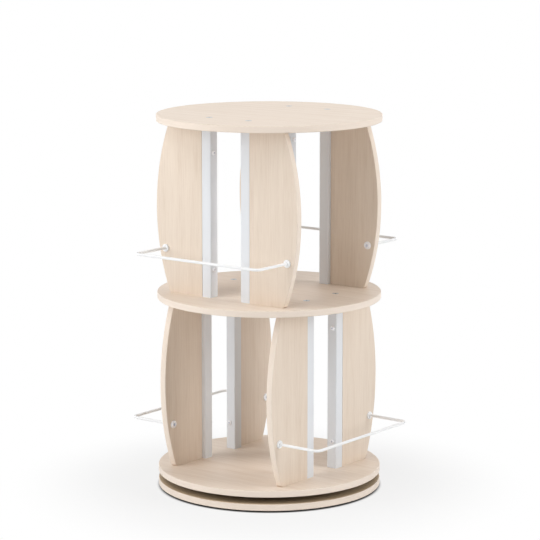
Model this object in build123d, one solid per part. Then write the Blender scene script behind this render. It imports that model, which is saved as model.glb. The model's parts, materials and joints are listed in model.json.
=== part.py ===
from build123d import *
from collections import namedtuple
import math
import os

# Revolving two-tier bookcase.  Millimetres, +Z up.  The origin is on the turning axis, at the
# level of the feet.  The upper tier's two walls run along X and the lower tier's along Y.

# ------------------------------------------------------------------ driving dimensions
# round boards: the base and the three shelves
shelf_diameter = 400.0
board_thickness = 12.0
board_edge_round = 1.5
blind_hole_floor = 4.0          # wood left under a blind hole in a board

# tiers and walls
tier_height = 305.0             # clear height between one shelf and the next
wall_outer_offset = 125.0       # turning axis to the outer face of a wall
wall_opening = 66.0             # clear width between the two posts of a wall
panel_end_inset = 22.0          # shelf rim to the panel's corner at its ends
panel_corner_round = 4.0
panel_edge_round = 1.2

# square steel posts
post_width = 20.0
post_wall = 1.5
post_corner_round = 2.0
plug_length = 20.0
plug_clearance = 0.1

# wire rails
wire_diameter = 5.0
rail_height = 79.0              # shelf top to the centre of the wire
rail_projection = 83.0          # wall's outer face to the centre of the bar
rail_bend_radius = 10.0
rail_edge_margin = 14.5         # panel's curved edge to the centre of the leg
collar_diameter = 14.0
collar_thickness = 3.0
collar_dish_diameter = 10.5
collar_dish_depth = 1.2
collar_shank_diameter = 9.0
collar_shank_short = 1.0        # how far the shank stops short of the panel's inner face
collar_wire_depth = 6.0
collar_web = 1.0                # metal left between the wire and the screw
rail_screw_head_diameter = 14.0
rail_screw_head_height = 3.0
rail_screw_head_round = 1.8
rail_screw_diameter = 5.0
rail_screw_socket = 5.0
rail_screw_socket_depth = 2.0

# screws through the posts into the panels' inner edges
panel_screw_inset = 49.0        # shelf face to the screw
panel_screw_diameter = 3.5
panel_screw_bite = 25.0         # length in the panel
panel_screw_cover = 4.0         # screw axis to the panel's inner face
panel_screw_head_diameter = 8.5
panel_screw_head_height = 2.6
panel_screw_head_round = 1.6
panel_screw_socket = 3.0
panel_screw_socket_depth = 1.8

# countersunk bolts through the shelves into the posts' end plugs
bolt_diameter = 6.0
bolt_head_diameter = 12.0
bolt_length = 27.0
bolt_socket = 4.0
bolt_socket_depth = 2.4

# wooden dowels between the panels' ends and the shelves
dowel_diameter = 6.0
dowel_panel_depth = 9.0

# ball-bearing turntable between the base and the bottom shelf
turntable_height = 12.0
turntable_pitch_radius = 84.0
turntable_track_gap = 1.6       # between the two rings' facing walls
turntable_ring_wall = 5.2
turntable_flange = 4.0
turntable_flange_width = 10.0   # from a ring's wall to its free rim
turntable_running_gap = 1.5     # each ring's free end to the board that it doesn't touch
ball_diameter = 6.0
ball_clearance = 0.25
ball_count = 24
cage_thickness = 0.8
cage_height = 8.4
cage_pocket_clearance = 0.2
turntable_screw_diameter = 3.5
turntable_screw_head_diameter = 7.5
turntable_screw_count = 6
turntable_screw_socket = 2.5
turntable_screw_socket_depth = 1.5
access_hole_diameter = 12.0     # in the base, for driving the upper ring's screws

# feet
foot_diameter = 30.0
foot_height = 3.0
foot_count = 6
foot_rim_inset = 35.0           # base rim to the centre of a foot

# fits
running_clearance = 0.05        # radial, round shanks and dowels in their holes
seat_clearance = 0.1            # round a countersunk head and a collar's shank
hole_end_gap = 0.4              # from a screw's or dowel's end to the bottom of its hole
tip_chamfer = 0.8

# ------------------------------------------------------------------ derived places
shelf_radius = shelf_diameter / 2
blind_depth = board_thickness - blind_hole_floor

base_floor = foot_height
base_top = base_floor + board_thickness
bottom_shelf_floor = base_top + turntable_height
bottom_shelf_top = bottom_shelf_floor + board_thickness
middle_shelf_floor = bottom_shelf_top + tier_height
middle_shelf_top = middle_shelf_floor + board_thickness
top_shelf_floor = middle_shelf_top + tier_height
top_shelf_top = top_shelf_floor + board_thickness

post_reach = wall_opening / 2 + post_width / 2          # wall centre to the post's centre
post_offset = wall_outer_offset - post_width / 2        # turning axis to the post's centre
panel_start = wall_opening / 2 + post_width             # wall centre to the panel's inner edge
panel_mid_reach = math.sqrt(shelf_radius**2 - wall_outer_offset**2)
panel_end_reach = math.sqrt((shelf_radius - panel_end_inset) ** 2 - wall_outer_offset**2)
panel_bulge = panel_mid_reach - panel_end_reach
panel_arc_radius = ((tier_height / 2) ** 2 + panel_bulge**2) / (2 * panel_bulge)
panel_inner_offset = wall_outer_offset - board_thickness
panel_mid_offset = wall_outer_offset - board_thickness / 2

dowel_reach = (panel_start + panel_end_reach) / 2
panel_screw_offset = panel_inner_offset + panel_screw_cover

ball_radius = ball_diameter / 2
track_outer = turntable_pitch_radius + turntable_track_gap / 2
track_inner = turntable_pitch_radius - turntable_track_gap / 2
outer_ring_wall_radius = track_outer + turntable_ring_wall
inner_ring_wall_radius = track_inner - turntable_ring_wall
turntable_outer_radius = outer_ring_wall_radius + turntable_flange_width
turntable_inner_radius = inner_ring_wall_radius - turntable_flange_width
lower_screw_radius = outer_ring_wall_radius + turntable_flange_width / 2
upper_screw_radius = inner_ring_wall_radius - turntable_flange_width / 2
ball_level = base_top + turntable_height / 2

from_below = (Align.CENTER, Align.CENTER, Align.MIN)
up = Vector(0, 0, 1)
down = Vector(0, 0, -1)
along_wall = Vector(1, 0, 0)
out_of_wall = Vector(0, -1, 0)


def panel_edge_reach(height):
    """Wall centre to the panel's curved edge, at a height above the shelf."""
    rise = height - tier_height / 2
    return panel_mid_reach - panel_arc_radius + math.sqrt(panel_arc_radius**2 - rise**2)


rail_leg_reach = panel_edge_reach(rail_height) - rail_edge_margin
rail_bar_offset = wall_outer_offset + rail_projection

# The walls are drawn once, as the front wall with the shelf's top at Z 0, and then turned about
# the axis.  "minus" and "plus" name the sides that lie at negative and positive X in that drawing.
Wall = namedtuple("Wall", "name floor turn minus plus")
walls = (
    Wall("lower_right", bottom_shelf_top, 90, "front", "back"),
    Wall("lower_left", bottom_shelf_top, -90, "back", "front"),
    Wall("upper_front", middle_shelf_top, 0, "left", "right"),
    Wall("upper_back", middle_shelf_top, 180, "right", "left"),
)


# ------------------------------------------------------------------ helpers
def rod(start, direction, radius, length):
    """Cylinder that grows from a point along a direction."""
    return Plane(origin=start, z_dir=direction) * Cylinder(radius, length, align=from_below)


def countersunk_form(head_diameter, shank_diameter, length):
    """Countersunk head and shank: the head's flat top at Z 0, the shank down to -length."""
    cone_height = (head_diameter - shank_diameter) / 2
    outline = Polyline(
        (0, 0),
        (head_diameter / 2, 0),
        (shank_diameter / 2, -cone_height),
        (shank_diameter / 2, -length),
        (0, -length),
        close=True,
    )
    return revolve(Plane.XZ * make_face(outline), Axis.Z)


def hex_socket(width_across_flats, depth):
    """Cutter for a hexagon socket whose mouth is at Z 0."""
    hexagon = RegularPolygon(width_across_flats / 2, side_count=6, major_radius=False)
    return extrude(hexagon, -depth)


def countersunk_screw(head_diameter, shank_diameter, length, socket):
    """Countersunk screw with the given socket cutter in its flat head."""
    screw = countersunk_form(head_diameter, shank_diameter, length)
    return chamfer(screw.edges().sort_by(Axis.Z)[0], tip_chamfer) - socket


def button_screw(head_diameter, head_height, head_round, shank_diameter, length, socket):
    """Round-headed screw: the head's flat underside at Z 0, the shank down to -length."""
    head = Cylinder(head_diameter / 2, head_height, align=from_below)
    head = fillet(head.edges().group_by(Axis.Z)[-1], head_round)
    shank = rod((0, 0, 0), down, shank_diameter / 2, length)
    shank = chamfer(shank.edges().sort_by(Axis.Z)[0], tip_chamfer)
    return head + shank - Pos(0, 0, head_height) * socket


def on_face(point, outward):
    """Place for a screw whose head looks outward at a point on a face."""
    return Plane(origin=point, z_dir=outward).location


def around(radius, count, height, first_angle=0.0):
    """Evenly spaced places round the turning axis."""
    step = 2 * math.pi / count
    angles = [math.radians(first_angle) + step * index for index in range(count)]
    return [Vector(radius * math.cos(a), radius * math.sin(a), height) for a in angles]


def wall_place(wall):
    return Pos(0, 0, wall.floor) * Rot(0, 0, wall.turn)


def both_sides(shape):
    """A wall's piece as drawn at positive X, and its mirror image at negative X."""
    return [mirror(shape, about=Plane.YZ), shape]


def tier_walls(tier):
    return [wall for wall in walls if wall.name.startswith(tier)]


def tier_group(tier, shapes):
    """One solid for each shape, on both sides of both walls of a tier."""
    placed = []
    for wall in tier_walls(tier):
        for shape in shapes:
            placed += [wall_place(wall) * solid for solid in both_sides(shape)]
    return Compound(children=placed)


def save(shape, node):
    export_step(shape, f"parts/{node}.step")


# ------------------------------------------------------------------ fixings of one wall side
def post_ends():
    """Centre of the post at its bottom and top, with the way the bolt's head looks there."""
    foot = Vector(post_reach, -post_offset, 0)
    head = Vector(post_reach, -post_offset, tier_height)
    return [(foot, down), (head, up)]


def shelf_bolts():
    """The bolts of one post: through the board at each end, heads flush with its far face."""
    socket = hex_socket(bolt_socket, bolt_socket_depth)
    bolt = countersunk_screw(bolt_head_diameter, bolt_diameter, bolt_length, socket)
    return [on_face(end + way * board_thickness, way) * bolt for end, way in post_ends()]


def bolt_holes():
    """Cutters for those bolts, countersunk from the board's far face."""
    clearance = 2 * seat_clearance
    hole = countersunk_form(
        bolt_head_diameter + clearance, bolt_diameter + clearance, board_thickness + clearance
    )
    return [on_face(end + way * board_thickness, way) * hole for end, way in post_ends()]


def dowel_ends():
    """Middle of the panel's bottom and top edge, with the way the dowel leaves it."""
    foot = Vector(dowel_reach, -panel_mid_offset, 0)
    head = Vector(dowel_reach, -panel_mid_offset, tier_height)
    return [(foot, down), (head, up)]


def panel_dowels():
    """The dowels of one panel, half in its end and half in the shelf."""
    panel_length = dowel_panel_depth - hole_end_gap
    shelf_length = blind_depth - hole_end_gap
    dowels = []
    for end, way in dowel_ends():
        dowel = rod(end - way * panel_length, way, dowel_diameter / 2, panel_length + shelf_length)
        tips = dowel.edges().filter_by(GeomType.CIRCLE)
        dowels.append(chamfer(tips, tip_chamfer))
    return dowels


def dowel_holes():
    """Cutters for those dowels in the panel and in the shelves."""
    radius = dowel_diameter / 2 + running_clearance
    length = dowel_panel_depth + blind_depth
    return [rod(end - way * dowel_panel_depth, way, radius, length) for end, way in dowel_ends()]


def panel_screw_heads():
    """Where the panel screws enter the post, on the face that looks into the wall's opening."""
    heights = (panel_screw_inset, tier_height - panel_screw_inset)
    return [Vector(wall_opening / 2, -panel_screw_offset, height) for height in heights]


def panel_screws():
    screw = button_screw(
        panel_screw_head_diameter,
        panel_screw_head_height,
        panel_screw_head_round,
        panel_screw_diameter,
        post_width + panel_screw_bite,
        hex_socket(panel_screw_socket, panel_screw_socket_depth),
    )
    return [on_face(head, -along_wall) * screw for head in panel_screw_heads()]


def panel_screw_holes():
    """Cutters for those screws, through the post and on into the panel."""
    radius = panel_screw_diameter / 2 + running_clearance
    length = post_width + panel_screw_bite + hole_end_gap
    return [rod(head, along_wall, radius, length) for head in panel_screw_heads()]


# ------------------------------------------------------------------ walls
def side_panel():
    """Board of one wall side: straight at the post, curved like a barrel at its outer edge."""
    outline = Polyline(
        (panel_end_reach, 0),
        (panel_start, 0),
        (panel_start, tier_height),
        (panel_end_reach, tier_height),
    )
    curve = ThreePointArc(
        (panel_end_reach, tier_height),
        (panel_mid_reach, tier_height / 2),
        (panel_end_reach, 0),
    )
    face = make_face(outline + curve)
    outer_corners = face.vertices().group_by(Axis.X)[1:]
    face = fillet([corner for group in outer_corners for corner in group], panel_corner_round)
    panel = extrude(Plane.XZ.offset(wall_outer_offset) * face, -board_thickness)
    arcs = panel.edges().filter_by(GeomType.CIRCLE)
    panel = fillet([arc for arc in arcs if arc.length > tier_height / 2], panel_edge_round)
    panel -= dowel_holes()
    panel -= panel_screw_holes()
    return panel - collar_hole()


def post():
    """Square tube from shelf to shelf, drilled for the panel screws."""
    outside = RectangleRounded(post_width, post_width, post_corner_round)
    bore_width = post_width - 2 * post_wall
    bore = RectangleRounded(bore_width, bore_width, post_corner_round - post_wall)
    tube = extrude(outside - bore, tier_height)
    return Pos(post_reach, -post_offset, 0) * tube - panel_screw_holes()


def post_plugs():
    """The threaded plugs in the two ends of one post."""
    width = post_width - 2 * post_wall - 2 * plug_clearance
    block = extrude(RectangleRounded(width, width, post_corner_round - post_wall), -plug_length)
    plug = block - rod((0, 0, 0), down, bolt_diameter / 2 + running_clearance, plug_length)
    return [on_face(end, way) * plug for end, way in post_ends()]


# ------------------------------------------------------------------ rails
def rail_leg_points():
    """Outer face of the panel and the wire's end, on the axis of the rail's leg."""
    on_panel = Vector(rail_leg_reach, -wall_outer_offset, rail_height)
    wire_end = on_panel + out_of_wall * (collar_thickness - collar_wire_depth)
    return on_panel, wire_end


def rail():
    """Wire bent to a U that lies flat and stands out from the wall."""
    wire_end = rail_leg_points()[1]
    left_end = Vector(-wire_end.X, wire_end.Y, wire_end.Z)
    right_corner = Vector(rail_leg_reach, -rail_bar_offset, rail_height)
    left_corner = Vector(-rail_leg_reach, -rail_bar_offset, rail_height)
    path = FilletPolyline(left_end, left_corner, right_corner, wire_end, radius=rail_bend_radius)
    section = Plane(origin=left_end, z_dir=out_of_wall) * Circle(wire_diameter / 2)
    return sweep(section, path)


def collar():
    """Turned collar: dished flange on the panel, shank in it, a socket for the wire's end."""
    shank_length = board_thickness - collar_shank_short
    screw_bore_depth = shank_length + collar_thickness - collar_wire_depth - collar_web
    wire_radius = wire_diameter / 2 + running_clearance
    screw_radius = rail_screw_diameter / 2 + running_clearance
    dish_height = collar_thickness - collar_dish_depth
    flange = Cylinder(collar_diameter / 2, collar_thickness, align=from_below)
    flange = fillet(flange.edges().group_by(Axis.Z)[-1], collar_dish_depth / 2)
    dish = Pos(0, 0, dish_height) * Cone(
        wire_radius, collar_dish_diameter / 2, collar_dish_depth, align=from_below
    )
    turned = flange - dish + rod((0, 0, 0), down, collar_shank_diameter / 2, shank_length)
    turned -= rod((0, 0, collar_thickness), down, wire_radius, collar_wire_depth)
    turned -= rod((0, 0, -shank_length), up, screw_radius, screw_bore_depth)
    return on_face(rail_leg_points()[0], out_of_wall) * turned


def collar_hole():
    on_panel = rail_leg_points()[0]
    return rod(on_panel, -out_of_wall, collar_shank_diameter / 2 + seat_clearance, board_thickness)


def rail_screw():
    """Button-headed screw from the panel's inner face into the collar's shank."""
    free_depth = board_thickness + collar_thickness - collar_wire_depth - collar_web
    screw = button_screw(
        rail_screw_head_diameter,
        rail_screw_head_height,
        rail_screw_head_round,
        rail_screw_diameter,
        free_depth - hole_end_gap,
        hex_socket(rail_screw_socket, rail_screw_socket_depth),
    )
    inner_face = rail_leg_points()[0] - out_of_wall * board_thickness
    return on_face(inner_face, -out_of_wall) * screw


# ------------------------------------------------------------------ round boards
def board(floor):
    """Round board with eased rims and its underside at the given height."""
    disc = Pos(0, 0, floor) * Cylinder(shelf_radius, board_thickness, align=from_below)
    return fillet(disc.edges().filter_by(GeomType.CIRCLE), board_edge_round)


def tier_cutters(tier):
    """Every bolt and dowel hole that a tier's walls need, above and below."""
    cutters = []
    for wall in tier_walls(tier):
        for cutter in bolt_holes() + dowel_holes():
            cutters += [wall_place(wall) * hole for hole in both_sides(cutter)]
    return cutters


def turntable_pilots(radius, height, way):
    """Blind pilot holes for one circle of turntable screws, starting at a board's face."""
    bore = turntable_screw_diameter / 2 + running_clearance
    return [rod(p, way, bore, blind_depth) for p in around(radius, turntable_screw_count, height)]


def base_disc():
    disc = board(base_floor)
    disc -= turntable_pilots(lower_screw_radius, base_top, down)
    access = Vector(0, upper_screw_radius, base_floor)
    return disc - rod(access, up, access_hole_diameter / 2, board_thickness)


def bottom_shelf():
    shelf = board(bottom_shelf_floor) - tier_cutters("lower")
    return shelf - turntable_pilots(upper_screw_radius, bottom_shelf_floor, up)


def middle_shelf():
    return board(middle_shelf_floor) - tier_cutters("lower") - tier_cutters("upper")


def top_shelf():
    return board(top_shelf_floor) - tier_cutters("upper")


def feet():
    """Pads under the base's rim."""
    circle = shelf_radius - foot_rim_inset
    places = around(circle, foot_count, 0.0, first_angle=180.0 / foot_count)
    return Compound(children=[rod(p, up, foot_diameter / 2, foot_height) for p in places])


# ------------------------------------------------------------------ turntable
def ball_track():
    """Torus that grinds the ball groove into both rings."""
    groove = Circle(ball_radius + ball_clearance)
    section = Plane.XZ * Pos(turntable_pitch_radius, ball_level) * groove
    return revolve(section, Axis.Z)


def ring_section(points):
    return revolve(Plane.XZ * make_face(Polyline(*points, close=True)), Axis.Z)


def turntable_screw_form(extra_diameter, length):
    return countersunk_form(
        turntable_screw_head_diameter + extra_diameter,
        turntable_screw_diameter + extra_diameter,
        length,
    )


def outer_ring():
    """Lower ring: flange on the base, wall with the ball groove round the inner ring."""
    flange_top = base_top + turntable_flange
    wall_top = bottom_shelf_floor - turntable_running_gap
    ring = ring_section(
        (
            (track_outer, base_top),
            (turntable_outer_radius, base_top),
            (turntable_outer_radius, flange_top),
            (outer_ring_wall_radius, flange_top),
            (outer_ring_wall_radius, wall_top),
            (track_outer, wall_top),
        )
    )
    hole = turntable_screw_form(2 * seat_clearance, turntable_flange + seat_clearance)
    places = around(lower_screw_radius, turntable_screw_count, flange_top)
    return ring - ball_track() - [on_face(p, up) * hole for p in places]


def inner_ring():
    """Upper ring: flange under the bottom shelf, wall with the ball groove inside the other."""
    flange_bottom = bottom_shelf_floor - turntable_flange
    wall_bottom = base_top + turntable_running_gap
    ring = ring_section(
        (
            (turntable_inner_radius, flange_bottom),
            (turntable_inner_radius, bottom_shelf_floor),
            (track_inner, bottom_shelf_floor),
            (track_inner, wall_bottom),
            (inner_ring_wall_radius, wall_bottom),
            (inner_ring_wall_radius, flange_bottom),
        )
    )
    hole = turntable_screw_form(2 * seat_clearance, turntable_flange + seat_clearance)
    places = around(upper_screw_radius, turntable_screw_count, flange_bottom)
    return ring - ball_track() - [on_face(p, down) * hole for p in places]


def turntable_screws(radius, height, outward):
    length = turntable_flange + blind_depth - hole_end_gap
    socket = hex_socket(turntable_screw_socket, turntable_screw_socket_depth)
    screw = countersunk_screw(
        turntable_screw_head_diameter, turntable_screw_diameter, length, socket
    )
    places = around(radius, turntable_screw_count, height)
    return Compound(children=[on_face(p, outward) * screw for p in places])


def balls():
    places = around(turntable_pitch_radius, ball_count, ball_level)
    return Compound(children=[Pos(*place) * Sphere(ball_radius) for place in places])


def ball_cage():
    """Thin ring between the two walls, with a round pocket for each ball."""
    lift = (turntable_height - cage_height) / 2
    outer = turntable_pitch_radius + cage_thickness / 2
    inner = turntable_pitch_radius - cage_thickness / 2
    floor = Vector(0, 0, base_top + lift)
    ring = rod(floor, up, outer, cage_height) - rod(floor, up, inner, cage_height)
    pocket_radius = ball_radius + cage_pocket_clearance
    starts = around(inner - turntable_track_gap, ball_count, ball_level)
    pockets = []
    for start in starts:
        outward = Vector(start.X, start.Y, 0).normalized()
        pockets.append(rod(start, outward, pocket_radius, turntable_ring_wall))
    return ring - pockets


# ------------------------------------------------------------------ nodes
def save_base():
    save(base_disc(), "base_disc")
    save(feet(), "base_feet")
    save(outer_ring(), "turntable_outer_ring")
    lower_level = base_top + turntable_flange
    save(turntable_screws(lower_screw_radius, lower_level, up), "turntable_lower_screws")


def save_turntable_balls():
    save(balls(), "turntable_balls")
    save(ball_cage(), "turntable_ball_cage")


def save_shelves():
    save(inner_ring(), "turntable_inner_ring")
    upper_level = bottom_shelf_floor - turntable_flange
    save(turntable_screws(upper_screw_radius, upper_level, down), "turntable_upper_screws")
    save(bottom_shelf(), "bottom_shelf")
    save(middle_shelf(), "middle_shelf")
    save(top_shelf(), "top_shelf")


def save_walls():
    for wall in walls:
        place = wall_place(wall)
        for side, panel in zip((wall.minus, wall.plus), both_sides(side_panel())):
            save(place * panel, f"{wall.name}_{side}_panel")
        for side, tube in zip((wall.minus, wall.plus), both_sides(post())):
            save(place * tube, f"{wall.name}_{side}_post")
        save(place * rail(), f"{wall.name}_rail")


def save_fixings():
    for tier in ("lower", "upper"):
        save(tier_group(tier, post_plugs()), f"{tier}_post_plugs")
        save(tier_group(tier, shelf_bolts()), f"{tier}_shelf_bolts")
        save(tier_group(tier, panel_dowels()), f"{tier}_panel_dowels")
        save(tier_group(tier, panel_screws()), f"{tier}_panel_screws")
        save(tier_group(tier, [collar()]), f"{tier}_rail_collars")
        save(tier_group(tier, [rail_screw()]), f"{tier}_rail_screws")


os.makedirs("parts", exist_ok=True)
save_base()
save_turntable_balls()
save_shelves()
save_walls()
save_fixings()
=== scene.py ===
import json
import math

import bpy
from mathutils import Matrix, Vector


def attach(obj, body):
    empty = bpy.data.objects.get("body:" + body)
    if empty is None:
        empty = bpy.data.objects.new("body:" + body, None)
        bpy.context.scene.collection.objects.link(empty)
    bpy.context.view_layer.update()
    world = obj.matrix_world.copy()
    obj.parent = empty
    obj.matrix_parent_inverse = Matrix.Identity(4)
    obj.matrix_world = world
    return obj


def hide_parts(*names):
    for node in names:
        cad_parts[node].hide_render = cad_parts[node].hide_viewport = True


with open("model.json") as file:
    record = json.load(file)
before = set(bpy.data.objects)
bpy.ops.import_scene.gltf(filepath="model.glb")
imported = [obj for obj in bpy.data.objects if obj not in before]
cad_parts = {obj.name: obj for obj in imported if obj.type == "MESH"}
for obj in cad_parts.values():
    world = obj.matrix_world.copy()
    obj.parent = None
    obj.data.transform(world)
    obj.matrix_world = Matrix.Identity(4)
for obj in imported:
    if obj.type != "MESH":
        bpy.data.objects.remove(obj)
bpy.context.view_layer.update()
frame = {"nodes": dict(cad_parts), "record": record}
scene = bpy.context.scene

# Revolving two-tier bookcase.  Metres, +Z up, the origin on the turning axis at floor level.
MM = 0.001

# camera: stands to the right of the front and a little above the middle shelf
VIEW_AZIMUTH = math.radians(37.43)
VIEW_ELEVATION = math.radians(10.13)
VIEW_AIM = Vector((0.001, 0.001, 0.3917))
VIEW_DISTANCE = 4.2456
VIEW_LENS = 158.47
VIEW_SENSOR = 36.0

# boards, in millimetres
BOARD = 12.0
SHELF_RADIUS = 200.0
BOTTOM_SHELF_TOP = 39.0
MIDDLE_SHELF_TOP = 356.0
TIER_HEIGHT = 305.0

# walls: each is drawn as the front wall on a shelf at height 0, then turned
WALL_FACE = 125.0                       # turning axis to a wall's outer face
OPENING_HALF = 33.0
WALL_TURNS = {                          # wall: shelf top, turn about the axis in degrees
    "lower_right": (BOTTOM_SHELF_TOP, 90.0),
    "lower_left": (BOTTOM_SHELF_TOP, -90.0),
    "upper_front": (MIDDLE_SHELF_TOP, 0.0),
    "upper_back": (MIDDLE_SHELF_TOP, 180.0),
}

# side panels
PANEL_END_RADIUS = 178.0                # turning axis to the outer corner at a panel's ends
PANEL_MID_REACH = math.sqrt(SHELF_RADIUS ** 2 - WALL_FACE ** 2)
PANEL_END_REACH = math.sqrt(PANEL_END_RADIUS ** 2 - WALL_FACE ** 2)
PANEL_START = 53.0                      # wall's middle to the panel's edge on the post
PANEL_STEPS = 96

# wire rails and the collars that hold them
RAIL_HEIGHT = 79.0
RAIL_REACH = 83.0                       # wall's outer face to the bar
RAIL_MARGIN = 14.5                      # panel's curved edge to the leg
RAIL_BEND = 10.0
WIRE = 5.0
WIRE_BORE = WIRE / 2 + 0.05
WIRE_IN_COLLAR = 6.0
COLLAR_HEIGHT = 3.0

# screws through the posts
POST_SCREW_HEIGHTS = (49.0, TIER_HEIGHT - 49.0)
POST_SCREW_OFFSET = 117.0

# feet
FOOT_CIRCLE = 165.0
FOOT_COUNT = 6

# maple foil, in millimetres
GRAIN_BAND = 14.0
GRAIN_FIBRE = 2.5                       # drawn coarser than the real 0.3, so that it shows
GRAIN_PORE = 0.9
GRAIN_STRETCH = 0.04                    # how much a pattern is shrunk along the grain
FLAT_ENOUGH = 0.9                       # a normal this near to upright marks a board's face

# powder coat, in millimetres
POWDER_PEEL = 1.4
POWDER_CLOUD = 35.0

# turned fixings
ROUND_STEPS = 6
TURNED_SIDES = 40
TURNING_SEED = 3
PIVOT_RADIUS = 0.001 * MM
MERGE_DISTANCE = 0.005 * MM


# ------------------------------------------------------------------ nodes
def linear(code):
    """sRGB hex value to the linear colour that the shaders take."""
    channels = [int(code[start:start + 2], 16) / 255 for start in (1, 3, 5)]
    curve = [c / 12.92 if c <= 0.04045 else ((c + 0.055) / 1.055) ** 2.4 for c in channels]
    return (*curve, 1.0)


def feed(tree, node, inputs):
    """Sets sockets, found by name or number, to a value or links them to a node's output."""
    for key, value in inputs.items():
        if isinstance(value, bpy.types.NodeSocket):
            tree.links.new(value, node.inputs[key])
        else:
            node.inputs[key].default_value = value


def add(tree, kind, inputs=None, **settings):
    """Adds a node with its settings and feeds its sockets."""
    made = tree.nodes.new(kind)
    for name, value in settings.items():
        setattr(made, name, value)
    feed(tree, made, inputs or {})
    return made


# ------------------------------------------------------------------ materials
def blank_material(name):
    """New material whose node tree is still empty."""
    material = bpy.data.materials.new(name)
    material.use_nodes = True
    material.node_tree.nodes.clear()
    return material


def finish_material(name, build):
    """New material whose Principled shader is fed by build(tree, shader)."""
    material = blank_material(name)
    tree = material.node_tree
    shader = add(tree, "ShaderNodeBsdfPrincipled")
    add(tree, "ShaderNodeOutputMaterial", {"Surface": shader.outputs["BSDF"]})
    build(tree, shader)
    return material


def maple_grain(tree, shader, drawn, tones, banded, painted_gap_shade=0.0, upward=0.0):
    """Printed maple foil: soft bands, fine straight fibres and short pores along the grain.
    drawn is the grain's coordinate in metres, already shrunk along the grain, and tones are its
    light, middle and dark colour.  banded is 1 on the edge band, a lighter strip, partly its own
    paler tone and partly painted light on edges and rims.  backed is 1 where painted shade takes
    the foil's place in the shaded gap over the turntable and under the base: dark brown
    underneath and a darker tan where upward is 1."""
    light, middle, dark = tones
    bands = add(tree, "ShaderNodeTexNoise", {
        "Vector": drawn, "Scale": 1 / (GRAIN_BAND * MM), "Detail": 2.0, "Roughness": 0.5,
    })
    fibres = add(tree, "ShaderNodeTexNoise", {
        "Vector": drawn, "Scale": 1 / (GRAIN_FIBRE * MM), "Detail": 3.0, "Roughness": 0.65,
    })
    pores = add(tree, "ShaderNodeTexNoise", {
        "Vector": drawn, "Scale": 1 / (GRAIN_PORE * MM), "Detail": 1.0, "Roughness": 0.4,
    })
    streak = add(tree, "ShaderNodeMath", {
        0: fibres.outputs["Fac"], 1: 0.62, 2: 0.0,
    }, operation="MULTIPLY_ADD")
    tone = add(tree, "ShaderNodeMath", {
        0: bands.outputs["Fac"], 1: 0.38, 2: streak.outputs[0],
    }, operation="MULTIPLY_ADD")
    ramp = add(tree, "ShaderNodeValToRGB", {"Fac": tone.outputs[0]})
    ramp.color_ramp.elements[0].position = 0.32
    ramp.color_ramp.elements[0].color = linear(dark)
    ramp.color_ramp.elements[1].position = 0.66
    ramp.color_ramp.elements[1].color = linear(light)
    ramp.color_ramp.elements.new(0.48).color = linear(middle)
    pore_mask = add(tree, "ShaderNodeMapRange", {
        "Value": pores.outputs["Fac"], "From Min": 0.62, "From Max": 0.74,
        "To Min": 0.0, "To Max": 0.35,
    })
    wood = add(tree, "ShaderNodeMix", {
        "Factor": pore_mask.outputs["Result"], "A": ramp.outputs["Color"], "B": linear(dark),
    }, data_type="RGBA")
    # painted shade for the gap over the turntable and under the base: dark brown flecked by the
    # pores on faces that look down, a darker tan on the base's top
    underside_shade_colour = add(tree, "ShaderNodeMix", {
        "Factor": pores.outputs["Fac"], "A": linear("#5C4A3A"), "B": linear("#6E5A48"),
    }, data_type="RGBA")
    gap_shade_colour = add(tree, "ShaderNodeMix", {
        "Factor": upward, "A": underside_shade_colour.outputs[2], "B": linear("#D8BE9C"),
    }, data_type="RGBA")
    # paler edge band: partly the band's own tone, partly painted light on edges and rims
    edge_paleness_and_light = add(tree, "ShaderNodeMath", {0: banded, 1: 0.5}, operation="MULTIPLY")
    band = add(tree, "ShaderNodeMix", {
        "Factor": edge_paleness_and_light.outputs[0], "A": wood.outputs[2], "B": linear("#FBEEE1"),
    }, data_type="RGBA")
    foil_and_gap_shade = add(tree, "ShaderNodeMix", {
        "Factor": painted_gap_shade, "A": band.outputs[2], "B": gap_shade_colour.outputs[2],
    }, data_type="RGBA")
    gloss = add(tree, "ShaderNodeMapRange", {
        "Value": tone.outputs[0], "From Min": 0.3, "From Max": 0.7, "To Min": 0.52, "To Max": 0.44,
    })
    relief = add(tree, "ShaderNodeBump", {
        "Height": fibres.outputs["Fac"], "Distance": 0.03 * MM, "Strength": 0.5,
    })
    feed(tree, shader, {
        "Base Color": foil_and_gap_shade.outputs[2], "Roughness": gloss.outputs["Result"],
        "Normal": relief.outputs["Normal"], "IOR": 1.5,
    })


def upright_laminate(tree, shader):
    """Side panels: the grain runs up the panel, on its faces and along its curved edge."""
    coordinates = add(tree, "ShaderNodeTexCoord")
    place = coordinates.outputs["Object"]
    drawn = add(tree, "ShaderNodeMapping", {
        "Vector": place, "Scale": (1.0, 1.0, GRAIN_STRETCH),
    })
    # edge band: it looks along Y in the lower tier and along X in the upper one
    height = add(tree, "ShaderNodeSeparateXYZ", {0: place})
    upper = add(tree, "ShaderNodeMath", {
        0: height.outputs["Z"], 1: (MIDDLE_SHELF_TOP - BOARD / 2) * MM,
    }, operation="GREATER_THAN")
    way = add(tree, "ShaderNodeSeparateXYZ", {0: coordinates.outputs["Normal"]})
    along = add(tree, "ShaderNodeMix", {
        "Factor": upper.outputs[0], 2: way.outputs["Y"], 3: way.outputs["X"],
    }, data_type="FLOAT")
    tilt = add(tree, "ShaderNodeMath", {0: along.outputs[0]}, operation="ABSOLUTE")
    on_edge = add(tree, "ShaderNodeMapRange", {
        "Value": tilt.outputs[0], "From Min": 0.6, "From Max": 0.8,
    })
    tones = "#F0E1D0", "#EBDBCA", "#E3D1BE"
    maple_grain(tree, shader, drawn.outputs["Vector"], tones, on_edge.outputs["Result"])


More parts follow.
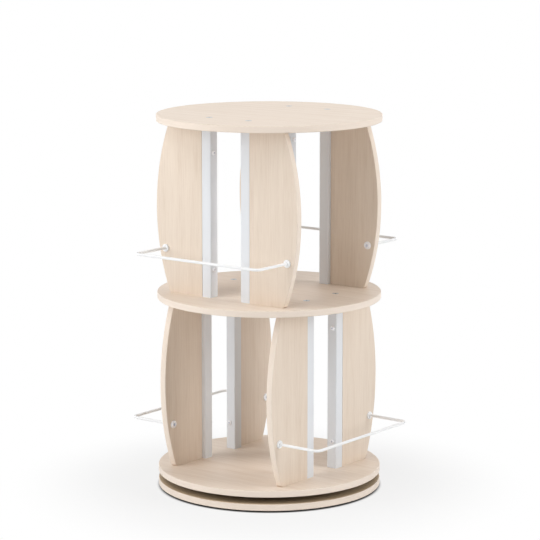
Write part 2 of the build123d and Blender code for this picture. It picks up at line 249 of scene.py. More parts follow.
def board_laminate(tree, shader):
    """Round boards: the grain runs straight across the faces and along the edge band."""
    coordinates = add(tree, "ShaderNodeTexCoord")
    place = coordinates.outputs["Object"]
    across = add(tree, "ShaderNodeMapping", {
        "Vector": place, "Scale": (GRAIN_STRETCH, 1.0, 1.0),
    })
    round_rim = add(tree, "ShaderNodeMapping", {
        "Vector": place, "Scale": (GRAIN_STRETCH, GRAIN_STRETCH, 1.0),
    })
    upright = add(tree, "ShaderNodeSeparateXYZ", {0: coordinates.outputs["Normal"]})
    tilt = add(tree, "ShaderNodeMath", {0: upright.outputs["Z"]}, operation="ABSOLUTE")
    on_face = add(tree, "ShaderNodeMapRange", {
        "Value": tilt.outputs[0], "From Min": 0.65, "From Max": 0.8,
    })
    drawn = add(tree, "ShaderNodeMix", {
        "Factor": on_face.outputs["Result"],
        "A": round_rim.outputs["Vector"], "B": across.outputs["Vector"],
    }, data_type="VECTOR")
    # painted gap shade in place of the foil: both of the base's faces, and the underside of the
    # shelf that the turntable carries
    height = add(tree, "ShaderNodeSeparateXYZ", {0: place})
    low = add(tree, "ShaderNodeMath", {
        0: height.outputs["Z"], 1: (BOTTOM_SHELF_TOP - BOARD + 1) * MM,
    }, operation="LESS_THAN")
    flat = add(tree, "ShaderNodeMath", {
        0: tilt.outputs[0], 1: FLAT_ENOUGH,
    }, operation="GREATER_THAN")
    painted_gap_shade = add(tree, "ShaderNodeMath", {
        0: low.outputs[0], 1: flat.outputs[0],
    }, operation="MULTIPLY")
    upward = add(tree, "ShaderNodeMath", {
        0: upright.outputs["Z"], 1: 0.0,
    }, operation="GREATER_THAN")
    on_rim = add(tree, "ShaderNodeMath", {
        0: 1.0, 1: on_face.outputs["Result"],
    }, operation="SUBTRACT")
    maple_grain(
        tree, shader, drawn.outputs[1], ("#F0E1D2", "#EBDBCB", "#E3D1BF"),
        on_rim.outputs[0], painted_gap_shade.outputs[0], upward.outputs[0],
    )


def powder_coat(colour, roughness, pearl=0.0):
    """Baked powder on steel: even colour, fine orange-peel skin; pearl is its metal flake."""
    def build(tree, shader):
        place = add(tree, "ShaderNodeTexCoord").outputs["Object"]
        peel = add(tree, "ShaderNodeTexNoise", {
            "Vector": place, "Scale": 1 / (POWDER_PEEL * MM), "Detail": 2.0, "Roughness": 0.5,
        })
        cloud = add(tree, "ShaderNodeTexNoise", {
            "Vector": place, "Scale": 1 / (POWDER_CLOUD * MM), "Detail": 2.0,
        })
        shade = add(tree, "ShaderNodeMapRange", {
            "Value": cloud.outputs["Fac"], "To Min": 0.97, "To Max": 1.0,
        })
        coat = add(tree, "ShaderNodeMix", {
            "Factor": 1.0, "A": linear(colour), "B": shade.outputs["Result"],
        }, data_type="RGBA", blend_type="MULTIPLY")
        # painted shade in a key's socket: the coat turns blue-grey on the faces that the socket's
        # cut leaves
        painted_socket_shade = add(tree, "ShaderNodeAttribute", attribute_name="painted_socket_shade")
        socket_shaded_coat = add(tree, "ShaderNodeMix", {
            "Factor": painted_socket_shade.outputs["Fac"], "A": coat.outputs[2], "B": linear("#DCDFE9"),
        }, data_type="RGBA")
        gloss = add(tree, "ShaderNodeMapRange", {
            "Value": peel.outputs["Fac"],
            "To Min": roughness - 0.06, "To Max": roughness + 0.06,
        })
        relief = add(tree, "ShaderNodeBump", {
            "Height": peel.outputs["Fac"], "Distance": 0.04 * MM, "Strength": 0.4,
        })
        feed(tree, shader, {
            "Base Color": socket_shaded_coat.outputs[2], "Roughness": gloss.outputs["Result"],
            "Normal": relief.outputs["Normal"], "Metallic": pearl,
        })
    return build


def plain_metal(colour, roughness, mark):
    """Bare metal with the fine scatter of its finish; mark is the size of that scatter."""
    def build(tree, shader):
        place = add(tree, "ShaderNodeTexCoord").outputs["Object"]
        scatter = add(tree, "ShaderNodeTexNoise", {
            "Vector": place, "Scale": 1 / mark, "Detail": 4.0, "Roughness": 0.6,
        })
        gloss = add(tree, "ShaderNodeMapRange", {
            "Value": scatter.outputs["Fac"],
            "To Min": roughness - 0.1, "To Max": roughness + 0.1,
        })
        shade = add(tree, "ShaderNodeMapRange", {
            "Value": scatter.outputs["Fac"], "To Min": 0.88, "To Max": 1.0,
        })
        tint = add(tree, "ShaderNodeMix", {
            "Factor": 1.0, "A": linear(colour), "B": shade.outputs["Result"],
        }, data_type="RGBA", blend_type="MULTIPLY")
        feed(tree, shader, {
            "Base Color": tint.outputs[2], "Roughness": gloss.outputs["Result"],
            "Metallic": 1.0,
        })
    return build


def moulded(colour, roughness, grit):
    """Moulded plastic or rubber with a fine pebbled skin; grit is the size of the pebbles."""
    def build(tree, shader):
        place = add(tree, "ShaderNodeTexCoord").outputs["Object"]
        pebbles = add(tree, "ShaderNodeTexVoronoi", {"Vector": place, "Scale": 1 / grit})
        shade = add(tree, "ShaderNodeMapRange", {
            "Value": pebbles.outputs["Distance"], "To Min": 0.9, "To Max": 1.0,
        })
        tint = add(tree, "ShaderNodeMix", {
            "Factor": 1.0, "A": linear(colour), "B": shade.outputs["Result"],
        }, data_type="RGBA", blend_type="MULTIPLY")
        relief = add(tree, "ShaderNodeBump", {
            "Height": pebbles.outputs["Distance"], "Distance": 0.05 * MM, "Strength": 0.4,
        })
        feed(tree, shader, {
            "Base Color": tint.outputs[2], "Roughness": roughness,
            "Normal": relief.outputs["Normal"],
        })
    return build


def beech_dowel(tree, shader):
    """Fluted beech: pink-brown with short dark flecks along the dowel."""
    place = add(tree, "ShaderNodeTexCoord").outputs["Object"]
    drawn = add(tree, "ShaderNodeMapping", {"Vector": place, "Scale": (1.0, 1.0, 0.15)})
    flecks = add(tree, "ShaderNodeTexNoise", {
        "Vector": drawn.outputs["Vector"], "Scale": 1 / (0.8 * MM), "Detail": 2.0,
    })
    tint = add(tree, "ShaderNodeMix", {
        "Factor": flecks.outputs["Fac"], "A": linear("#D9B48C"), "B": linear("#B98D62"),
    }, data_type="RGBA")
    feed(tree, shader, {"Base Color": tint.outputs[2], "Roughness": 0.7})


FINISHES = {
    # melamine foil: pale satin maple with straight fibres, slow bands and a lighter edge band
    # whose paleness is partly the band's own tone and partly painted light
    "board_laminate": finish_material("maple_melamine_boards", board_laminate),
    "panel_laminate": finish_material("maple_melamine_panels", upright_laminate),
    # powder on square tube: a cool satin white, its reflections broken by a fine orange peel
    "post_paint": finish_material("powder_coat_posts", powder_coat("#ECEFF3", 0.42)),
    # the same on wire, whiter and a little glossier
    "rail_paint": finish_material("powder_coat_rails", powder_coat("#FCFDFE", 0.36)),
    # pearl coat: white with a metal's soft sheen, and painted shade in blue-grey where the key
    # goes in
    "rail_screw_paint": finish_material("pearl_coat_screws", powder_coat("#FBFBFE", 0.32, 0.6)),
    # zinc plate: bright cool grey whose gloss varies in fine specks
    "zinc_steel": finish_material("zinc_plated_steel", plain_metal("#C9CBD0", 0.34, 0.8 * MM)),
    # beech: dry pink-brown wood with short dark flecks
    "dowel_beech": finish_material("fluted_beech", beech_dowel),
    # nylon: milky white, half gloss, faintly pebbled
    "plug_nylon": finish_material("moulded_nylon", moulded("#E4E1DA", 0.5, 0.6 * MM)),
    # turned aluminium: soft light grey, duller than the zinc
    "turntable_aluminium": finish_material(
        "turned_aluminium", plain_metal("#C4C5C6", 0.4, 1.2 * MM)
    ),
    # ball steel: dark mirror with hardly any scatter
    "ball_steel": finish_material("polished_ball_steel", plain_metal("#B9BBBE", 0.2, 0.5 * MM)),
    # acetal: near black with a waxy half gloss
    "cage_plastic": finish_material("moulded_acetal", moulded("#3A3C40", 0.45, 0.7 * MM)),
    # rubber: black and dull, its pebbles a little coarser
    "foot_rubber": finish_material("moulded_rubber", moulded("#26272A", 0.8, 0.9 * MM)),
}

# the CAD nodes take their finishes too
for part in frame["record"]["subparts"]:
    node = frame["nodes"][part["node"]]
    for place in node.material_slots:
        place.material = FINISHES[part["material_slot"]]


# ------------------------------------------------------------------ geometry trees
def new_tree(name, sizes):
    """Empty tree with a named input for each size; returns it with its entry's sockets."""
    tree = bpy.data.node_groups.new(name, "GeometryNodeTree")
    tree.interface.new_socket("Geometry", in_out="INPUT", socket_type="NodeSocketGeometry")
    for label, kind in sizes.items():
        tree.interface.new_socket(label, in_out="INPUT", socket_type=kind)
    tree.interface.new_socket("Geometry", in_out="OUTPUT", socket_type="NodeSocketGeometry")
    return tree, add(tree, "NodeGroupInput").outputs


def close_tree(tree, entry, geometry, smooth_below):
    """Smooth shading up to an angle, then the finish, and everything made real."""
    bend = add(tree, "GeometryNodeInputMeshEdgeAngle")
    gentle = add(tree, "FunctionNodeCompare", {
        0: bend.outputs["Unsigned Angle"], 1: smooth_below,
    }, operation="LESS_THAN", data_type="FLOAT")
    all_smooth = add(tree, "GeometryNodeSetShadeSmooth", {"Geometry": geometry}, domain="FACE")
    shaded = add(tree, "GeometryNodeSetShadeSmooth", {
        "Geometry": all_smooth.outputs["Geometry"], "Shade Smooth": gentle.outputs["Result"],
    }, domain="EDGE")
    real = add(tree, "GeometryNodeRealizeInstances", {"Geometry": shaded.outputs["Geometry"]})
    painted = add(tree, "GeometryNodeSetMaterial", {
        "Geometry": real.outputs["Geometry"], "Material": entry["Finish"],
    })
    add(tree, "NodeGroupOutput", {"Geometry": painted.outputs["Geometry"]})


def line_through(tree, points):
    """Curve through a list of points, whose X and Y are numbers or nodes' outputs."""
    index = add(tree, "GeometryNodeInputIndex").outputs["Index"]
    pick = add(tree, "GeometryNodeIndexSwitch", {"Index": index}, data_type="VECTOR")
    while len(pick.index_switch_items) < len(points):
        pick.index_switch_items.new()
    for number, (x, y) in enumerate(points):
        corner = add(tree, "ShaderNodeCombineXYZ", {"X": x, "Y": y})
        tree.links.new(corner.outputs["Vector"], pick.inputs[number + 1])
    corners = add(tree, "GeometryNodeMeshLine", {"Count": len(points), "Offset": (0, 0, 0)})
    drawn = add(tree, "GeometryNodeSetPosition", {
        "Geometry": corners.outputs["Mesh"], "Position": pick.outputs[0],
    })
    line = add(tree, "GeometryNodeMeshToCurve", {"Mesh": drawn.outputs["Geometry"]})
    return line.outputs["Curve"]


def set_on_points(tree, entry, shape, turn=None, **alignment):
    """One shape on each of the seed's points, aligned to its `facing` and then given its turn."""
    facing = add(tree, "GeometryNodeInputNamedAttribute", {
        "Name": "facing",
    }, data_type="FLOAT_VECTOR")
    aimed = add(tree, "FunctionNodeAlignRotationToVector", {
        "Vector": facing.outputs["Attribute"],
    }, **alignment).outputs["Rotation"]
    if turn is not None:
        aimed = add(tree, "FunctionNodeRotateRotation", {
            "Rotation": aimed, "Rotate By": turn,
        }, rotation_space="LOCAL").outputs["Rotation"]
    placed = add(tree, "GeometryNodeInstanceOnPoints", {
        "Points": entry["Geometry"], "Instance": shape, "Rotation": aimed,
    })
    return placed.outputs["Instances"]


def rail_tree():
    """Wire bent along the rails' corner points."""
    tree, entry = new_tree("bent_wire_rails", {
        "Wire Diameter": "NodeSocketFloat", "Bend Radius": "NodeSocketFloat",
        "Bend Steps": "NodeSocketInt", "Wire Sides": "NodeSocketInt",
        "Finish": "NodeSocketMaterial",
    })
    runs = add(tree, "GeometryNodeMeshToCurve", {"Mesh": entry["Geometry"]})
    bent = add(tree, "GeometryNodeFilletCurve", {
        "Curve": runs.outputs["Curve"], "Radius": entry["Bend Radius"],
        "Count": entry["Bend Steps"],
    }, mode="POLY")
    half = add(tree, "ShaderNodeMath", {0: entry["Wire Diameter"], 1: 0.5}, operation="MULTIPLY")
    section = add(tree, "GeometryNodeCurvePrimitiveCircle", {
        "Resolution": entry["Wire Sides"], "Radius": half.outputs[0],
    })
    wire = add(tree, "GeometryNodeCurveToMesh", {
        "Curve": bent.outputs["Curve"], "Profile Curve": section.outputs["Curve"],
        "Fill Caps": True,
    })
    close_tree(tree, entry, wire.outputs["Mesh"], smooth_below=math.radians(50))
    return tree


def turned_tree():
    """Piece turned about its own axis, one on each point, its head towards the point's facing.
    The head may have a dished mouth and a bore, or a hexagon socket, and the shank a bore."""
    tree, entry = new_tree("turned_fixings", {
        "Head Radius": "NodeSocketFloat", "Head Height": "NodeSocketFloat",
        "Head Round": "NodeSocketFloat",
        "Mouth Radius": "NodeSocketFloat", "Mouth Depth": "NodeSocketFloat",
        "Bore Radius": "NodeSocketFloat", "Bore Depth": "NodeSocketFloat",
        "Shank Radius": "NodeSocketFloat", "Shank Length": "NodeSocketFloat",
        "Shank Bore Radius": "NodeSocketFloat", "Shank Bore Depth": "NodeSocketFloat",
        "Socket Width": "NodeSocketFloat", "Socket Depth": "NodeSocketFloat",
        "Round Steps": "NodeSocketInt", "Sides": "NodeSocketInt", "Seed": "NodeSocketInt",
        "Finish": "NodeSocketMaterial",
    })
    height = entry["Head Height"]
    face = add(tree, "ShaderNodeMath", {0: 0.0, 1: height}, operation="SUBTRACT").outputs[0]
    mouth = add(tree, "ShaderNodeMath", {
        0: entry["Mouth Depth"], 1: height,
    }, operation="SUBTRACT").outputs[0]
    bore = add(tree, "ShaderNodeMath", {
        0: entry["Bore Depth"], 1: height,
    }, operation="SUBTRACT").outputs[0]
    length = entry["Shank Length"]
    bored = entry["Shank Bore Radius"]
    bore_end = add(tree, "ShaderNodeMath", {
        0: length, 1: entry["Shank Bore Depth"],
    }, operation="SUBTRACT").outputs[0]
    # half section from the head's middle to the shank's tip: distance from the axis, depth
    outline = (
        (0.0, bore), (entry["Bore Radius"], bore), (entry["Bore Radius"], mouth),
        (entry["Mouth Radius"], face), (entry["Head Radius"], face), (entry["Head Radius"], 0.0),
        (entry["Shank Radius"], 0.0), (entry["Shank Radius"], length), (bored, length),
        (bored, bore_end), (0.0, bore_end),
    )
    rounded_corner = outline.index((entry["Head Radius"], face))
    index = add(tree, "GeometryNodeInputIndex").outputs["Index"]
    at_rim = add(tree, "FunctionNodeCompare", {
        2: index, 3: rounded_corner,
    }, operation="EQUAL", data_type="INT")
    radius = add(tree, "GeometryNodeSwitch", {
        "Switch": at_rim.outputs["Result"], "False": 0.0, "True": entry["Head Round"],
    }, input_type="FLOAT")
    eased = add(tree, "GeometryNodeFilletCurve", {
        "Curve": line_through(tree, outline), "Radius": radius.outputs[0],
        "Count": entry["Round Steps"],
    }, mode="POLY")
    # the section goes round a circle too small to see, whose hole the merge closes
    pivot = add(tree, "GeometryNodeCurvePrimitiveCircle", {
        "Resolution": entry["Sides"], "Radius": PIVOT_RADIUS,
    })
    spun = add(tree, "GeometryNodeCurveToMesh", {
        "Curve": pivot.outputs["Curve"], "Profile Curve": eased.outputs["Curve"],
    })
    whole = add(tree, "GeometryNodeMergeByDistance", {
        "Geometry": spun.outputs["Mesh"], "Distance": MERGE_DISTANCE,
    })
    # hexagon key: half a width across its flats to the radius through its corners
    corner_radius = add(tree, "ShaderNodeMath", {
        0: entry["Socket Width"], 1: 0.5 / math.cos(math.radians(30)),
    }, operation="MULTIPLY")
    key_length = add(tree, "ShaderNodeMath", {
        0: entry["Socket Depth"], 1: 2.0,
    }, operation="MULTIPLY")
    key = add(tree, "GeometryNodeMeshCylinder", {
        "Vertices": 6, "Radius": corner_radius.outputs[0], "Depth": key_length.outputs[0],
    })
    at_head = add(tree, "ShaderNodeCombineXYZ", {"Z": height})
    set_key = add(tree, "GeometryNodeTransform", {
        "Geometry": key.outputs["Mesh"], "Translation": at_head.outputs["Vector"],
    })
    # the socket's faces are marked for the coat's painted shade
    socket_shade_faces = add(tree, "GeometryNodeStoreNamedAttribute", {
        "Geometry": set_key.outputs["Geometry"], "Name": "painted_socket_shade", "Value": 1.0,
    }, data_type="FLOAT", domain="FACE")
    sunk = add(tree, "GeometryNodeMeshBoolean", {
        "Mesh 1": whole.outputs["Geometry"], "Mesh 2": socket_shade_faces.outputs["Geometry"],
    }, operation="DIFFERENCE", solver="EXACT")
    has_socket = add(tree, "FunctionNodeCompare", {
        0: entry["Socket Depth"], 1: 0.0,
    }, operation="GREATER_THAN", data_type="FLOAT")
    shape = add(tree, "GeometryNodeSwitch", {
        "Switch": has_socket.outputs["Result"],
        "False": whole.outputs["Geometry"], "True": sunk.outputs["Mesh"],
    }, input_type="GEOMETRY")
    # each one ends at its own turn when it is driven home
    turn = add(tree, "FunctionNodeRandomValue", {
        2: 0.0, 3: math.radians(60), "ID": index, "Seed": entry["Seed"],
    }, data_type="FLOAT")
    driven = add(tree, "FunctionNodeAxisAngleToRotation", {
        "Axis": (0, 0, 1), "Angle": turn.outputs[1],
    })
    placed = set_on_points(tree, entry, shape.outputs[0], driven.outputs["Rotation"], axis="Z")
    close_tree(tree, entry, placed, smooth_below=math.radians(38))
    return tree


def panel_tree():
    """Side panel on each point: straight on the post, its free edge an arc like a barrel stave.
    It is drawn with the wall's middle at X 0 and turned so that X looks along `facing`."""
    tree, entry = new_tree("barrel_panels", {
        "Start": "NodeSocketFloat", "Middle Reach": "NodeSocketFloat",
        "Arc Radius": "NodeSocketFloat", "Height": "NodeSocketFloat",
        "Thickness": "NodeSocketFloat", "Corner Round": "NodeSocketFloat",
        "Edge Round": "NodeSocketFloat", "Steps": "NodeSocketInt",
        "Finish": "NodeSocketMaterial",
    })
    index = add(tree, "GeometryNodeInputIndex").outputs["Index"]
    here = add(tree, "ShaderNodeSeparateXYZ", {
        0: add(tree, "GeometryNodeInputPosition").outputs["Position"],
    }).outputs
    height = here["Z"]
    behind = -20.0 * MM                 # where the post's edge waits until it is put in place

    # one Math node for each row; a word stands for the result of an earlier row
    result = {}
    for name, operation, first, second in (
        # levels lie closer together towards both ends, where the corners are rounded
        ("share", "DIVIDE", index, entry["Steps"]),
        ("angle", "MULTIPLY", "share", math.pi),
        ("swing", "COSINE", "angle", 0.0),
        ("risen", "SUBTRACT", 1.0, "swing"),
        ("half risen", "MULTIPLY", "risen", 0.5),
        ("level", "MULTIPLY", "half risen", entry["Height"]),
        ("levels", "ADD", entry["Steps"], 1.0),
        # level section: corners 1 and 2 are the free edge's
        ("half", "MULTIPLY", entry["Thickness"], 0.5),
        ("minus half", "MULTIPLY", entry["Thickness"], -0.5),
        ("from free side", "SUBTRACT", index, 1.5),
        ("steps from it", "ABSOLUTE", "from free side", 0.0),
        ("on free side", "LESS_THAN", "steps from it", 1.0),
        ("edge round", "MULTIPLY", "on free side", entry["Edge Round"]),
        # the barrel's arc at this height
        ("half height", "MULTIPLY", entry["Height"], 0.5),
        ("from middle", "SUBTRACT", height, "half height"),
        ("off middle", "ABSOLUTE", "from middle", 0.0),
        ("off square", "POWER", "off middle", 2.0),
        ("arc square", "POWER", entry["Arc Radius"], 2.0),
        ("side square", "SUBTRACT", "arc square", "off square"),
        ("side", "SQRT", "side square", 0.0),
        ("sagitta", "SUBTRACT", entry["Arc Radius"], "side"),
        ("reach", "SUBTRACT", entry["Middle Reach"], "sagitta"),
        # what the round of the panel's corners takes off it
        ("to top", "SUBTRACT", entry["Height"], height),
        ("to end", "MINIMUM", height, "to top"),
        ("into corner", "SUBTRACT", entry["Corner Round"], "to end"),
        ("short", "MAXIMUM", "into corner", 0.0),
        ("short square", "POWER", "short", 2.0),
        ("round square", "POWER", entry["Corner Round"], 2.0),
        ("left square", "SUBTRACT", "round square", "short square"),
        ("left", "MAXIMUM", "left square", 0.0),
        ("kept", "SQRT", "left", 0.0),
        ("cut", "SUBTRACT", entry["Corner Round"], "kept"),
        ("free edge", "SUBTRACT", "reach", "cut"),
        ("edge", "ADD", "free edge", here["X"]),
        ("on post", "LESS_THAN", here["X"], behind / 2),
    ):
        pair = [result[value] if isinstance(value, str) else value for value in (first, second)]
        math_node = add(tree, "ShaderNodeMath", dict(enumerate(pair)), operation=operation)
        result[name] = math_node.outputs[0]

    stand = add(tree, "ShaderNodeCombineXYZ", {"Z": result["level"]})
    levels = add(tree, "GeometryNodeMeshLine", {"Count": result["levels"], "Offset": (0, 0, 0)})
    column = add(tree, "GeometryNodeSetPosition", {
        "Geometry": levels.outputs["Mesh"], "Position": stand.outputs["Vector"],
    })
    path = add(tree, "GeometryNodeMeshToCurve", {"Mesh": column.outputs["Geometry"]})

    # level section: the free edge at X 0 with rounded corners, the post's edge well behind it
    ring = (
        (behind, result["minus half"]), (0.0, result["minus half"]),
        (0.0, result["half"]), (behind, result["half"]),
    )
    closed = add(tree, "GeometryNodeSetSplineCyclic", {
        "Geometry": line_through(tree, ring), "Cyclic": True,
    })
    eased = add(tree, "GeometryNodeFilletCurve", {
        "Curve": closed.outputs["Geometry"], "Count": 4, "Radius": result["edge round"],
    }, mode="POLY")
    blank = add(tree, "GeometryNodeCurveToMesh", {
        "Curve": path.outputs["Curve"], "Profile Curve": eased.outputs["Curve"],
        "Fill Caps": True,
    })

    # each level is pulled out to the barrel's arc, less the round of the panel's corners
    across = add(tree, "ShaderNodeMix", {
        "Factor": result["on post"], 2: result["edge"], 3: entry["Start"],
    }, data_type="FLOAT")
    shaped = add(tree, "ShaderNodeCombineXYZ", {
        "X": across.outputs[0], "Y": here["Y"], "Z": height,
    })
    panel = add(tree, "GeometryNodeSetPosition", {
        "Geometry": blank.outputs["Mesh"], "Position": shaped.outputs["Vector"],
    })
    placed = set_on_points(tree, entry, panel.outputs["Geometry"], axis="X", pivot_axis="Z")
    close_tree(tree, entry, placed, smooth_below=math.radians(30))
    return tree


def grown(name, tree, seed, values):
    """Runs a tree on a seed mesh and keeps the result as a plain mesh."""
    piece = bpy.data.objects.new(name, seed)
    scene.collection.objects.link(piece)
    step = piece.modifiers.new("build", "NODES")
    step.node_group = tree
    for socket in tree.interface.items_tree:
        if socket.in_out == "INPUT" and socket.name in values:
            step[socket.identifier] = values[socket.name]
    graph = bpy.context.evaluated_depsgraph_get()
    mesh = bpy.data.meshes.new_from_object(piece.evaluated_get(graph), depsgraph=graph)
    piece.modifiers.remove(step)
    piece.data = mesh
    mesh.name = name
    return piece


def seed_mesh(name, points, edges=(), facing=None):
    """Points in metres, joined by edges or each with the way that its piece looks."""
    mesh = bpy.data.meshes.new(name)
    mesh.from_pydata([tuple(point) for point in points], list(edges), [])
    if facing:
        ways = mesh.attributes.new("facing", "FLOAT_VECTOR", "POINT")
        for item, way in zip(ways.data, facing):
            item.vector = way
    return mesh


# ------------------------------------------------------------------ places on the walls
PANEL_BULGE = PANEL_MID_REACH - PANEL_END_REACH
PANEL_ARC = ((TIER_HEIGHT / 2) ** 2 + PANEL_BULGE ** 2) / (2 * PANEL_BULGE)


def barrel_reach(height):
    """Wall's middle to its panel's curved edge, at a height above the shelf."""
    fall = PANEL_ARC - math.sqrt(PANEL_ARC ** 2 - (height - TIER_HEIGHT / 2) ** 2)
    return PANEL_MID_REACH - fall


def on_wall(wall, point):
    """Point of the wall's drawing, millimetres, to its place in metres."""
    floor, turn = WALL_TURNS[wall]
    place = Matrix.Rotation(math.radians(turn), 3, "Z") @ Vector(point)
    return (place + Vector((0, 0, floor))) * MM


def way_on_wall(wall, way):
    return Matrix.Rotation(math.radians(WALL_TURNS[wall][1]), 3, "Z") @ Vector(way)


def both_sides(point, way):
    """A place of the drawing at positive X and its mirror image."""
    return [(point, way), ((-point[0], *point[1:]), (-way[0], *way[1:]))]


def fixings(name, places, sizes, finish, body, nodes):
    """One turned piece on each place, sizes in millimetres."""
    points, ways = zip(*places)
    values = {label: size * MM for label, size in sizes.items()}
    values.update({
        "Round Steps": ROUND_STEPS, "Sides": TURNED_SIDES, "Seed": TURNING_SEED, "Finish": finish,
    })
    piece = grown(name, fixings_tree, seed_mesh(name + "_places", points, facing=ways), values)
    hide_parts(*nodes)
    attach(piece, body)
    return piece


def wall_places(drawn):
    """Places on all four walls of a list of places in the drawing."""
    return [
        (on_wall(wall, point), way_on_wall(wall, way))
        for wall in WALL_TURNS for one in drawn for point, way in both_sides(*one)
    ]


# ------------------------------------------------------------------ side panels
panel_places = wall_places([((0, BOARD / 2 - WALL_FACE, 0), (-1, 0, 0))])
panel_points, panel_ways = zip(*panel_places)
panel_seed = seed_mesh("panel_places", panel_points, facing=panel_ways)
side_panels = grown("side_panels", panel_tree(), panel_seed, {
    "Start": PANEL_START * MM, "Middle Reach": PANEL_MID_REACH * MM,
    "Arc Radius": PANEL_ARC * MM, "Height": TIER_HEIGHT * MM, "Thickness": BOARD * MM,
    "Corner Round": 4.0 * MM, "Edge Round": 1.2 * MM, "Steps": PANEL_STEPS,
    "Finish": FINISHES["panel_laminate"],
})
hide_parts(*[name for name in frame["nodes"] if name.endswith("_panel")])
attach(side_panels, "carousel")

# ------------------------------------------------------------------ rails
leg = barrel_reach(RAIL_HEIGHT) - RAIL_MARGIN
wire_end = -WALL_FACE - COLLAR_HEIGHT + WIRE_IN_COLLAR
bar = -WALL_FACE - RAIL_REACH
rail_corners = ((-leg, wire_end), (-leg, bar), (leg, bar), (leg, wire_end))
rail_points = [
    on_wall(wall, (x, y, RAIL_HEIGHT)) for wall in WALL_TURNS for x, y in rail_corners
]
rail_runs = [
    (first + step, first + step + 1)
    for first in range(0, len(rail_points), len(rail_corners))
    for step in range(len(rail_corners) - 1)
]
rails = grown("wire_rails", rail_tree(), seed_mesh("rail_corners", rail_points, rail_runs), {
    "Wire Diameter": WIRE * MM, "Bend Radius": RAIL_BEND * MM,
    "Bend Steps": 12, "Wire Sides": 24, "Finish": FINISHES["rail_paint"],
})
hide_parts(*[wall + "_rail" for wall in WALL_TURNS])
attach(rails, "carousel")

# ------------------------------------------------------------------ collars, screws and feet
fixings_tree = turned_tree()

collars = fixings(
    "rail_collars", wall_places([((leg, -WALL_FACE, RAIL_HEIGHT), (0, -1, 0))]), {
        "Head Radius": 7.0, "Head Height": COLLAR_HEIGHT, "Head Round": 1.2,
        "Mouth Radius": 4.2, "Mouth Depth": 0.6, "Bore Radius": WIRE_BORE,
        "Bore Depth": WIRE_IN_COLLAR, "Shank Radius": 4.5, "Shank Length": 11.0,
        "Shank Bore Radius": WIRE_BORE, "Shank Bore Depth": 7.0,
    }, FINISHES["rail_paint"], "carousel", ["lower_rail_collars", "upper_rail_collars"],
)

rail_screws = fixings(
    "rail_screws", wall_places([((leg, BOARD - WALL_FACE, RAIL_HEIGHT), (0, 1, 0))]), {
        "Head Radius": 7.0, "Head Height": 3.0, "Head Round": 1.8,
        "Shank Radius": 2.5, "Shank Length": 7.6,
        "Socket Width": 5.0, "Socket Depth": 2.0,
    }, FINISHES["rail_screw_paint"], "carousel", ["lower_rail_screws", "upper_rail_screws"],
)

panel_screws = fixings(
    "panel_screws", wall_places([
        ((OPENING_HALF, -POST_SCREW_OFFSET, height), (-1, 0, 0)) for height in POST_SCREW_HEIGHTS
    ]), {
        "Head Radius": 4.25, "Head Height": 2.6, "Head Round": 1.6,
        "Shank Radius": 1.75, "Shank Length": 45.0,
        "Socket Width": 3.0, "Socket Depth": 1.8,
    }, FINISHES["rail_screw_paint"], "carousel", ["lower_panel_screws", "upper_panel_screws"],
)

foot_angles = [math.radians(180 / FOOT_COUNT + 360 / FOOT_COUNT * k) for k in range(FOOT_COUNT)]
foot_places = [
    (Vector((math.cos(angle), math.sin(angle), 0)) * FOOT_CIRCLE * MM, (0, 0, 1))
    for angle in foot_angles
]
feet = fixings("round_feet", foot_places, {
    "Head Radius": 15.0, "Head Height": 3.0, "Head Round": 0.0,
}, FINISHES["foot_rubber"], "base", ["base_feet"])

# ------------------------------------------------------------------ camera, floor and light
camera = bpy.data.objects.new("camera", bpy.data.cameras.new("camera"))
scene.collection.objects.link(camera)
back = Vector((
    math.sin(VIEW_AZIMUTH) * math.cos(VIEW_ELEVATION),
    -math.cos(VIEW_AZIMUTH) * math.cos(VIEW_ELEVATION),
    math.sin(VIEW_ELEVATION),
))
camera.location = VIEW_AIM + back * VIEW_DISTANCE
camera.rotation_euler = (-back).to_track_quat("-Z", "Y").to_euler()
camera.data.lens = VIEW_LENS
camera.data.sensor_width = VIEW_SENSOR
camera.data.clip_end = 100.0
scene.camera = camera
scene.view_settings.view_transform = "Standard"


def softbox(name, place, aim, size, power, mirrored=False):
    """Square lamp; unless mirrored, glossy surfaces show the white room and not the lamp."""
    lamp = bpy.data.lights.new(name, "AREA")
    lamp.shape = "SQUARE"
    lamp.size = size
    lamp.energy = power
    holder = bpy.data.objects.new(name, lamp)
    holder.location = place
    holder.rotation_euler = (Vector(aim) - Vector(place)).to_track_quat("-Z", "Y").to_euler()
    holder.visible_glossy = mirrored
    scene.collection.objects.link(holder)


AIM = (0, 0, 0.35)                      # what the lamps round the object look at
AROUND = {                              # lamp: its place, its power in watts
    "left_low": ((-2.07, -2.96, 1.52), 43),
    "left_high": ((-1.34, -1.92, 3.34), 31),
    "front_low": ((0.0, -3.61, 1.52), 20),
    "front_high": ((0.0, -2.34, 3.34), 16),
    "right_low": ((3.49, 0.94, 1.52), 57),
    "right_high": ((2.26, 0.61, 3.34), 27),
    "back_fill": ((-0.75, 2.8, 2.8), 20),
}
AROUND_SIZE = 1.8
softbox("overhead", (0.0, 0.0, 3.2), (0, 0, 0.3), size=2.5, power=10, mirrored=True)
for name, (place, power) in AROUND.items():
    softbox(name, place, AIM, size=AROUND_SIZE, power=power)

WHITE = (1.0, 1.0, 1.0, 1.0)
ROOM_LIGHT = 0.1                        # what the white room adds to the lamps


def seen_rays(tree):
    """1 on rays that see the background, directly or through a reflection or glass."""
    rays = add(tree, "ShaderNodeLightPath").outputs
    direct = add(tree, "ShaderNodeMath", {
        0: rays["Is Camera Ray"], 1: rays["Is Glossy Ray"],
    }, operation="ADD")
    return add(tree, "ShaderNodeMath", {
        0: direct.outputs[0], 1: rays["Is Transmission Ray"],
    }, operation="ADD", use_clamp=True).outputs[0]


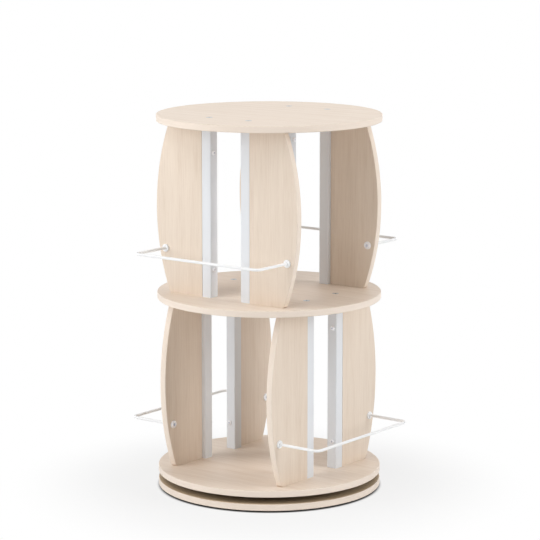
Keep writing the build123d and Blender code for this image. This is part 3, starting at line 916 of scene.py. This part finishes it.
world = bpy.data.worlds.new("room")
scene.world = world
world.use_nodes = True
sky = world.node_tree
sky.nodes.clear()
strength = add(sky, "ShaderNodeMapRange", {
    "Value": seen_rays(sky), "To Min": ROOM_LIGHT, "To Max": 1.0,
})
room = add(sky, "ShaderNodeBackground", {
    "Color": WHITE, "Strength": strength.outputs["Result"],
})
add(sky, "ShaderNodeOutputWorld", {"Surface": room.outputs["Background"]})

# floor, in metres: its glow rises first at the base's rim and then further away from the axis
FLOOR_REACH = 40.0
GLOW_AT_RIM = (0.196, 0.205)
GLOW_AWAY = (0.22, 0.48)
RIM_GLOW = 0.78                         # the first rise's share of the whole glow


def floor_paint():
    """Pale matt floor that turns into the white of the background away from the object, with a
    painted shadow under the base.
    """
    material = blank_material("pale_floor")
    tree = material.node_tree
    place = add(tree, "ShaderNodeTexCoord").outputs["Object"]
    reach = add(tree, "ShaderNodeVectorMath", {0: place}, operation="LENGTH")
    # no glow under the base, most of it just outside the rim and the rest far away
    near = add(tree, "ShaderNodeMapRange", {
        "Value": reach.outputs["Value"],
        "From Min": GLOW_AT_RIM[0], "From Max": GLOW_AT_RIM[1],
    }, interpolation_type="SMOOTHSTEP")
    away = add(tree, "ShaderNodeMapRange", {
        "Value": reach.outputs["Value"], "From Min": GLOW_AWAY[0], "From Max": GLOW_AWAY[1],
        "To Min": 0.0, "To Max": 1.0 - RIM_GLOW,
    }, interpolation_type="SMOOTHSTEP")
    far = add(tree, "ShaderNodeMath", {
        0: near.outputs["Result"], 1: RIM_GLOW, 2: away.outputs["Result"],
    }, operation="MULTIPLY_ADD")
    seen = seen_rays(tree)
    fade = add(tree, "ShaderNodeMath", {0: far.outputs[0], 1: seen}, operation="MULTIPLY")
    # painted shadow under the base: the eye sees a greyer floor than the bounced light does,
    # darkest under the base
    grey = add(tree, "ShaderNodeMix", {
        "Factor": near.outputs["Result"], "A": linear("#6C6C6C"), "B": linear("#D6D6D6"),
    }, data_type="RGBA")
    shade = add(tree, "ShaderNodeMix", {
        "Factor": seen, "A": linear("#F4F4F4"), "B": grey.outputs[2],
    }, data_type="RGBA")
    matt = add(tree, "ShaderNodeBsdfDiffuse", {"Color": shade.outputs[2]})
    glow = add(tree, "ShaderNodeEmission", {"Color": WHITE, "Strength": 1.0})
    both = add(tree, "ShaderNodeMixShader", {
        0: fade.outputs[0], 1: matt.outputs["BSDF"], 2: glow.outputs["Emission"],
    })
    add(tree, "ShaderNodeOutputMaterial", {"Surface": both.outputs["Shader"]})
    return material


floor_corners = [(-FLOOR_REACH, -FLOOR_REACH, 0), (FLOOR_REACH, -FLOOR_REACH, 0),
                 (FLOOR_REACH, FLOOR_REACH, 0), (-FLOOR_REACH, FLOOR_REACH, 0)]
floor_mesh = bpy.data.meshes.new("floor")
floor_mesh.from_pydata(floor_corners, [], [(0, 1, 2, 3)])
floor_mesh.materials.append(floor_paint())
floor = bpy.data.objects.new("floor", floor_mesh)
scene.collection.objects.link(floor)
